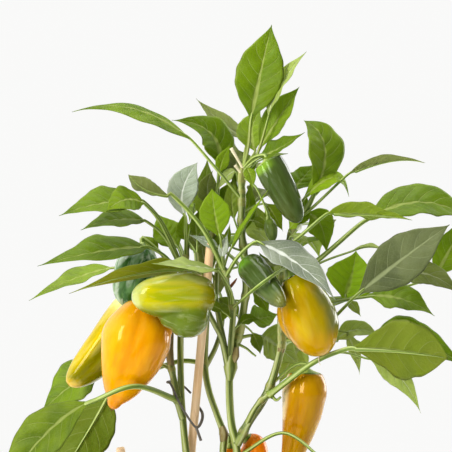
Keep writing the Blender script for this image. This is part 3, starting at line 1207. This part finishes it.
# look: colours of the upper face in light and in shade, of the under face, of veins and of light that
# shines through; roughness of the upper face; share of light let through
LEAF_LOOKS = {
    "fresh": ("7e9a06", "587200", "92a42c", "b6c464", "9cb600", 0.42, 0.42),
    "vivid": ("9cb824", "82a010", "a0b444", "c4d464", "b6d016", 0.42, 0.5),
    "deep": ("768c0c", "566c04", "808a26", "a0ae54", "8aa606", 0.42, 0.36),
    "dull": ("7a8738", "5c6828", "8e9852", "aeb680", "97a43a", 0.45, 0.34),
    "pale": ("bccc6e", "94a64e", "c2d086", "dbe3b0", "b8c656", 0.45, 0.42),
    "silver": ("b4bea4", "8e9c82", "bec8b0", "eef2e2", "a0ae78", 0.32, 0.2),
    "grey": ("66744e", "495a3a", "7e8c68", "f0f4e6", "7e8e50", 0.42, 0.2),
    "olive": ("8c9a14", "6c7c0c", "a8ae22", "c8cc7c", "aab41a", 0.42, 0.42),
    "dark": ("5a6434", "444e28", "66723e", "98a270", "707c28", 0.48, 0.22),
}
VEIN_WIDTH = 0.055
MIDRIB_WIDTHS = (0.26, 0.06)
NET_SCALE = 420.0
UNDER_ROUGHNESS = 0.12
LEAF_SPECULAR = 0.18


def leaf_finish(name, look, upper):
    """One face of a leaf: blotched ground, side veins that meet those of the mesh, midrib and net."""
    light, shaded, under, vein, glow, roughness, through = look
    graph = new_finish(name)
    edge, along, seed = graph.split(graph.paint())
    place = graph.place()
    aside = graph.maths("ABSOLUTE", edge)
    sweep = graph.times(graph.maths("POWER", aside, VEIN_BOW), VEIN_SWEEP)
    left = graph.times(graph.maths("LESS_THAN", edge, 0.0), VEIN_OFFSET)
    course = graph.plus(graph.times(graph.maths("SUBTRACT", along, sweep), VEIN_PAIRS), left)
    off_vein = graph.maths("PINGPONG", course, 0.5)
    side_vein = graph.times(graph.ramp(off_vein, VEIN_WIDTH, 0.0), graph.ramp(aside, 0.95, 0.6))
    spread = graph.ramp(along, 0.0, 0.6, *MIDRIB_WIDTHS)
    midrib = graph.ramp(aside, spread, graph.times(spread, 0.4))
    veins = graph.maths("MAXIMUM", graph.times(side_vein, 0.75), midrib)
    net = graph.ramp(graph.cells(place, NET_SCALE), 0.12, 0.0)
    blotch = graph.noise(place, 38.0, 3.0)
    speck = graph.noise(place, 260.0, 2.0)
    bloom = graph.ramp(graph.noise(place, 24.0, 2.0, 0.5, 0.8), 0.5, 0.72)
    if upper:
        colour = graph.blend(graph.ramp(blotch, 0.38, 0.6), shaded, light)
        colour = graph.tint(colour, light, graph.ramp(off_vein, 0.0, 0.5), 0.3)
        vein_share = graph.maths("MAXIMUM", graph.times(side_vein, 0.55), graph.times(midrib, 0.85))
        relief = (-1.0, -0.25)
    else:
        colour = graph.blend(graph.times(graph.ramp(blotch, 0.3, 0.7), 0.5), under, light)
        vein_share = graph.times(veins, 0.85)
        relief = (1.0, 0.3)
        roughness += UNDER_ROUGHNESS
    colour = graph.tint(colour, vein, bloom, 0.2)
    colour = graph.tint(colour, shaded, graph.ramp(seed, 0.55, 0.0), 0.55)
    colour = graph.tint(colour, vein, graph.ramp(seed, 0.6, 1.0), 0.15)
    colour = graph.tint(colour, vein, net, 0.1)
    colour = graph.tint(colour, vein, vein_share)
    colour = graph.tint(colour, vein, graph.ramp(aside, 0.9, 0.98), 0.4)
    colour = graph.tint(colour, shaded, graph.ramp(speck, 0.62, 0.75), 0.12)
    glow_colour = graph.blend(graph.times(veins, 0.5), glow, shaded)
    glow_colour = graph.tint(glow_colour, light, graph.ramp(blotch, 0.3, 0.7), 0.3)
    vein_height, net_height = relief
    height = graph.plus(graph.times(veins, vein_height), graph.times(speck, 0.35),
                        graph.times(net, net_height))
    normal = graph.bump(height, 0.7, 0.0005)
    skin = graph.surface(colour, roughness, normal, specular_ior_level=LEAF_SPECULAR)
    return graph.finish(graph.backlit(skin, through, glow_colour, normal))


STALK_RIBS = 3.0
STALK_TWIST = 4.0
NODE_TINT = "b4a45c"


def stalk_finish(name, light, dark, blush, stripe):
    """Green ribs and dark furrows round a stalk, with pale lines, brownish patches and pale nodes."""
    graph = new_finish(name)
    paint = graph.paint()
    cosine, sine, run = graph.split(paint)
    turn = graph.maths("ARCTAN2", sine, cosine)
    drift = graph.noise(graph.stretch(paint, 0.6, 0.6, 2.0), 1.4)
    twist = graph.maths("MULTIPLY_ADD", turn, STALK_RIBS, graph.times(graph.plus(run, drift), STALK_TWIST))
    ribs = graph.maths("MULTIPLY_ADD", graph.maths("COSINE", twist), 0.5, 0.5)
    fibres = graph.noise(graph.stretch(paint, 7.0, 7.0, 1.2), 1.5)
    patches = graph.noise(graph.place(), 22.0)
    colour = graph.blend(graph.ramp(graph.plus(ribs, graph.times(drift, 0.4)), 0.3, 0.9), dark, light)
    colour = graph.tint(colour, stripe, graph.ramp(ribs, 0.8, 1.0), 0.55)
    colour = graph.tint(colour, stripe, graph.ramp(fibres, 0.52, 0.7), 0.35)
    colour = graph.tint(colour, blush, graph.ramp(patches, 0.6, 0.76), 0.45)
    across = {0: graph.stretch(paint, 1.0, 1.0, 0.0)}
    clear = graph.node("ShaderNodeVectorMath", across, operation="LENGTH").outputs["Value"]
    colour = graph.tint(colour, NODE_TINT, graph.ramp(clear, 0.72, 0.52), 0.3)
    normal = graph.bump(fibres, 0.3, 0.0004)
    skin = graph.surface(colour, 0.4, normal, specular_ior_level=0.3)
    return graph.finish(graph.backlit(skin, 0.1, rgb(light), normal))


# A range of a ramp that covers a whole fruit.
ALL = (-3, -2)

RIPE_LOOK = ("fruit_orange", "f08a08", "e87a00", [("d86c00", 0.4, 0.0, *ALL, 0.4)], ("f8b860", 0.15))

# fruit: slot, ground colours, patches of (colour, along from, along to, side from, side to, strength), and
# the colour and strength of pale streaks
FRUIT_LOOKS = {
    "pepper_green_top": ("fruit_green", "405221", "394719", [
        ("7aa022", 0.2, 0.06, 0.5, -0.5, 1.0),
        ("727e58", *ALL, 0.7, 1.1, 0.5),
        ("50521c", 0.5, 0.8, 0.2, -0.6, 0.4),
    ], ("7a8a5c", 0.2)),
    "pepper_green_bud": ("fruit_green", "4c5f24", "5f6f34", [
        ("7f9a3a", 0.3, 0.0, *ALL, 0.7),
    ], ("8f9a72", 0.2)),
    "pepper_green_mid": ("fruit_green", "3f5020", "334410", [
        ("5a8a08", 0.34, 0.1, 0.6, -0.6, 0.9),
        ("5a6a3e", 0.4, 0.8, 0.3, -0.9, 0.5),
        ("6a6410", 0.84, 1.0, *ALL, 0.7),
    ], ("8c9a6a", 0.2)),
    "pepper_dark_green": ("fruit_green", "2f5a22", "5c8648", [
        ("a8c094", 0.2, 0.9, -0.1, -1.0, 0.5),
        ("e8f2e0", 0.3, 0.05, 0.5, -0.6, 0.6),
    ], ("e8f0e0", 0.5)),
    "pepper_lime": ("fruit_lime", "b0a808", "90980c", [
        ("6f6c00", 0.3, 0.02, *ALL, 0.85),
        ("9c9c50", *ALL, -0.3, -0.9, 0.5),
        ("54681a", *ALL, 0.2, 0.75, 0.95),
        ("b4c288", 0.84, 1.0, *ALL, 0.6),
    ], ("ccd0a0", 0.2)),
    "pepper_gold": ("fruit_lime", "c4a800", "b09a00", [
        ("f6eea0", 0.34, 0.06, *ALL, 0.9),
        ("5c6200", 0.35, 0.6, -0.6, -0.1, 0.85),
        ("dcae10", 0.86, 1.0, *ALL, 0.8),
    ], ("e0d890", 0.2)),
    "pepper_yellow": ("fruit_yellow", "bc9c00", "b89000", [
        ("938900", 0.35, 0.0, *ALL, 0.85),
        ("8c7a00", 0.1, 0.4, -0.2, 0.2, 0.7),
        ("6c7030", 0.1, 0.4, 0.35, 0.75, 0.9),
        ("ba8c00", 0.7, 0.9, *ALL, 0.95),
        ("ba8200", *ALL, -0.5, -0.85, 0.7),
    ], ("c8b46c", 0.12)),
    "pepper_amber": ("fruit_yellow", "b48400", "ac7800", [
        ("a46600", 0.1, 0.4, 0.1, -0.5, 0.5),
        ("b89600", 0.3, 0.7, 0.3, 0.9, 0.8),
        ("f0e0b0", *ALL, -0.72, -0.92, 0.7),
    ], ("c89a48", 0.12)),
    "pepper_orange": ("fruit_orange", "de9800", "d48800", [
        ("c07c00", 0.25, 0.0, *ALL, 0.5),
        ("dcae1c", 0.8, 0.3, -0.1, -0.9, 0.7),
        ("d08200", 0.2, 1.0, 0.1, 0.8, 0.4),
        ("d87c00", 0.7, 1.0, *ALL, 0.7),
    ], ("e6bc50", 0.15)),
    "pepper_orange_low": RIPE_LOOK,
    "pepper_orange_rear": RIPE_LOOK,
}
FRUIT_SKIN = {
    "specular_ior_level": 0.5, "coat_weight": 0.2, "coat_roughness": 0.05,
    "subsurface_weight": 0.1, "subsurface_radius": (1.0, 0.5, 0.1), "subsurface_scale": 0.002,
}


def fruit_finish(name):
    """A glossy skin with a ground in two tones, patches of other ripeness, pale streaks and pores."""
    _, ground, second, patches, (streak_tint, streak_strength) = FRUIT_LOOKS[name]
    graph = new_finish(name)
    paint = graph.paint()
    along, side, _ = graph.split(paint)
    place = graph.place()
    cloud = graph.noise(place, 42.0, 3.0, 0.55, 0.6)
    mottle = graph.noise(graph.stretch(paint, 1.2, 2.2, 2.2), 1.4, 3.0)
    wander = graph.times(graph.maths("SUBTRACT", cloud, 0.5), 0.5)
    colour = graph.blend(graph.ramp(mottle, 0.38, 0.64), ground, second)
    for tint, along_from, along_to, side_from, side_to, strength in patches:
        lengthways = graph.ramp(graph.plus(along, wander), along_from, along_to)
        sideways = graph.ramp(graph.plus(side, wander), side_from, side_to)
        colour = graph.tint(colour, tint, lengthways, sideways, strength)
    streaks = graph.noise(graph.stretch(paint, 1.2, 1.6, 1.6), 1.5, 3.0, 0.5, 0.8)
    colour = graph.tint(colour, streak_tint, graph.ramp(streaks, 0.45, 0.7), streak_strength)
    pores = graph.noise(place, 900.0)
    colour = graph.tint(colour, ground, graph.ramp(pores, 0.6, 0.8), 0.1)
    dents = graph.noise(place, 95.0)
    wrinkles = graph.noise(graph.stretch(paint, 3.0, 6.0, 6.0), 1.5, 2.0, 0.5, 1.2)
    normal = graph.bump(graph.plus(graph.times(dents, 0.6), graph.times(wrinkles, 0.14)), 0.3, 0.001)
    return graph.finish(graph.surface(colour, 0.13, normal, specular_tint=colour, **FRUIT_SKIN))


def clay_finish():
    graph = new_finish("clay")
    place = graph.place()
    cloud = graph.noise(place, 14.0, 4.0)
    scale = graph.noise(place, 30.0, 5.0, 0.65)
    grain = graph.noise(place, 700.0, 3.0, 0.7)
    bands = graph.noise(graph.stretch(place, 0.6, 0.6, 60.0), 6.0)
    colour = graph.blend(graph.ramp(cloud, 0.35, 0.68), "a9552f", "c07048")
    colour = graph.tint(colour, "cd8a66", graph.ramp(bands, 0.45, 0.62), 0.25)
    colour = graph.tint(colour, "d9b39a", graph.ramp(scale, 0.58, 0.8), 0.35)
    colour = graph.tint(colour, "7d3d22", graph.ramp(grain, 0.58, 0.75), 0.25)
    height = graph.plus(graph.times(grain, 0.4), graph.times(bands, 0.7))
    return graph.plain_finish(colour, graph.ramp(cloud, 0.2, 0.8, 0.68, 0.86), 0.3, height, 0.35, 0.0005)


def soil_finish():
    graph = new_finish("soil")
    place = graph.place()
    crumbs = graph.noise(place, 320.0, 5.0, 0.7)
    clods = graph.noise(place, 60.0, 3.0)
    colour = graph.blend(graph.ramp(crumbs, 0.35, 0.65), "241810", "4b3524")
    colour = graph.tint(colour, "5d4632", graph.ramp(clods, 0.5, 0.7), 0.4)
    height = graph.plus(crumbs, graph.times(clods, 0.6))
    return graph.plain_finish(colour, 0.95, 0.2, height, 0.9, 0.0018)


def perlite_finish():
    graph = new_finish("perlite")
    place = graph.place()
    colour = graph.blend(graph.noise(place, 300.0, 3.0), "c9c3b6", "f0ede4")
    return graph.plain_finish(colour, 0.85, 0.5, graph.noise(place, 900.0), 0.6, 0.0006)


def cane_finish():
    graph = new_finish("cane")
    grain = graph.noise(graph.stretch(graph.paint(), 6.0, 6.0, 1.4), 1.8, 4.0, 0.6)
    cloud = graph.noise(graph.place(), 30.0)
    colour = graph.blend(graph.ramp(grain, 0.36, 0.64), "eebe88", "fcdeb2")
    colour = graph.tint(colour, "faeacc", graph.ramp(cloud, 0.45, 0.7), 0.45)
    return graph.plain_finish(colour, 0.62, 0.35, grain, 0.35, 0.0004)


def husk_finish(name, light, dark):
    """A dry, fibrous skin."""
    graph = new_finish(name)
    fibres = graph.noise(graph.stretch(graph.paint(), 5.0, 5.0, 1.5), 2.0, 3.0)
    colour = graph.blend(graph.ramp(fibres, 0.35, 0.65), dark, light)
    return graph.plain_finish(colour, 0.75, 0.2, fibres, 0.4, 0.0003)


def wire_finish():
    graph = new_finish("wire")
    scuff = graph.noise(graph.place(), 400.0, 3.0)
    colour = graph.blend(scuff, "3f3a33", "6b645a")
    return graph.plain_finish(colour, 0.45, 0.5, scuff, 0.2, 0.0002)


FINISHES = {
    "stem": stalk_finish("stem", "98a650", "536420", "9c8a58", "d2d6a6"),
    "woody": stalk_finish("woody", "94864e", "6a5a34", "84605a", "b4a878"),
    "stalk": stalk_finish("stalk", "9cb04c", "5f7a1e", "8a8a3c", "cdd898"),
    "clay": clay_finish(),
    "soil": soil_finish(),
    "perlite": perlite_finish(),
    "cane": cane_finish(),
    "wire": wire_finish(),
    "husk": husk_finish("husk", "f0e6cc", "c9bc8c"),
    "withered": husk_finish("withered", "7e4c2c", "4a2c18"),
    "petal": husk_finish("petal", "fdfcf4", "e6ecd2"),
}
for look_name, look_values in LEAF_LOOKS.items():
    for skin_name in (look_name + "_upper", look_name + "_under"):
        FINISHES[skin_name] = leaf_finish(skin_name, look_values, skin_name.endswith("upper"))
for fruit_name in FRUIT_LOOKS:
    FINISHES[fruit_name] = fruit_finish(fruit_name)

# ---------------------------------------------------------------- the object


def make_plant(piece_name, node):
    """One leafy stem with its branches, leaves, fruit stalks, stubs and swellings."""
    body = Body()
    own_stems = [row for row in STEMS if row[1] == node]
    names = {row[0] for row in own_stems}
    for row in own_stems:
        add_stem(body, row)
    for number, row in enumerate(LEAVES + SMALL_LEAVES):
        if row[0] in names:
            add_leaf(body, row, number)
    for row in FRUITS:
        if row[1] in names:
            add_fruit_stalk(body, row)
    for row in STUBS + FORKS:
        if row[0] == node:
            add_stub(body, row)
    make_piece(piece_name, body, [node])


make_pot()
make_soil()
make_cane("long_stake", LONG_CANE, "cane_long")
make_cane("short_stake", SHORT_CANE, "cane_short")
make_tie()
for plant_name in ("left", "middle", "centre", "right"):
    make_plant(plant_name + "_plant", plant_name + "_stem")
for fruit_number, fruit_row in enumerate(FRUITS):
    make_fruit(fruit_row, FRUIT_SEED + SEED_STEP * fruit_number)

# ---------------------------------------------------------------- floor, light and camera
# In metres and watts.

FLOOR_RADIUS = 1.5
FLOOR_DROP = 0.0005
# The studio is bright behind, above and beside the plant and dimmer in front of it.
BACK_STRENGTH = 0.95
FRONT_STRENGTH = 0.2
STUDIO_COLOUR = (1, 1, 0.992, 1)
STUDIO_FADE = (-0.75, 0.6)
STUDIO_LIFT = 0.35
TARGET = (0, 0, 0.32)
# name, place, width, height, power
LAMPS = [
    ("key", (-0.75, -0.75, 0.75), 0.35, 0.9, 16),
    ("rim", (0.8, 0.6, 0.6), 0.5, 0.9, 8),
    ("top", (0, 0.1, 1.5), 0.9, 0.9, 12),
]


def make_floor():
    mesh = bpy.data.meshes.new("floor")
    shape = bmesh.new()
    bmesh.ops.create_circle(shape, cap_ends=True, segments=96, radius=FLOOR_RADIUS)
    shape.to_mesh(mesh)
    shape.free()
    graph = new_finish("floor")
    colour = graph.blend(graph.times(graph.noise(graph.place(), 6.0), 0.1), "f2f2f0", "e9e9e6")
    mesh.materials.append(graph.finish(graph.surface(colour, 0.8)))
    floor = add_object("floor", mesh)
    floor.location.z = -FLOOR_DROP


def make_lamp(name, place, width, height, power):
    light = bpy.data.lights.new(name, "AREA")
    light.shape = "RECTANGLE"
    light.size = width
    light.size_y = height
    light.energy = power
    lamp = add_object(name, light)
    lamp.location = place
    x, y, z = np.array(TARGET) - np.array(place)
    lamp.rotation_euler = (math.atan2(math.hypot(x, y), -z), 0, math.atan2(y, x) - math.pi / 2)


def make_world():
    graph = Graph(bpy.data.worlds.new("studio"))
    _, back, up = graph.split(graph.node("ShaderNodeTexCoord", {}).outputs["Generated"])
    lift = graph.maths("MULTIPLY_ADD", up, STUDIO_LIFT, back)
    strength = graph.ramp(lift, *STUDIO_FADE, FRONT_STRENGTH, BACK_STRENGTH)
    background = graph.node("ShaderNodeBackground", {"Color": STUDIO_COLOUR, "Strength": strength})
    bpy.context.scene.world = graph.finish(background.outputs[0], "ShaderNodeOutputWorld")


def make_camera():
    camera = bpy.data.cameras.new("camera")
    camera.sensor_width = SENSOR_WIDTH
    camera.lens = SENSOR_WIDTH * EYE_DISTANCE / VIEW_WIDTH
    camera.clip_start = 0.05
    holder = add_object("camera", camera)
    holder.location = (0, -EYE_DISTANCE * MM, EYE_HEIGHT * MM)
    holder.rotation_euler = (math.pi / 2, 0, 0)
    bpy.context.scene.camera = holder


make_floor()
make_world()
for lamp_row in LAMPS:
    make_lamp(*lamp_row)
make_camera()

bpy.context.scene.view_settings.view_transform = "Standard"
bpy.context.scene.view_settings.look = "None"
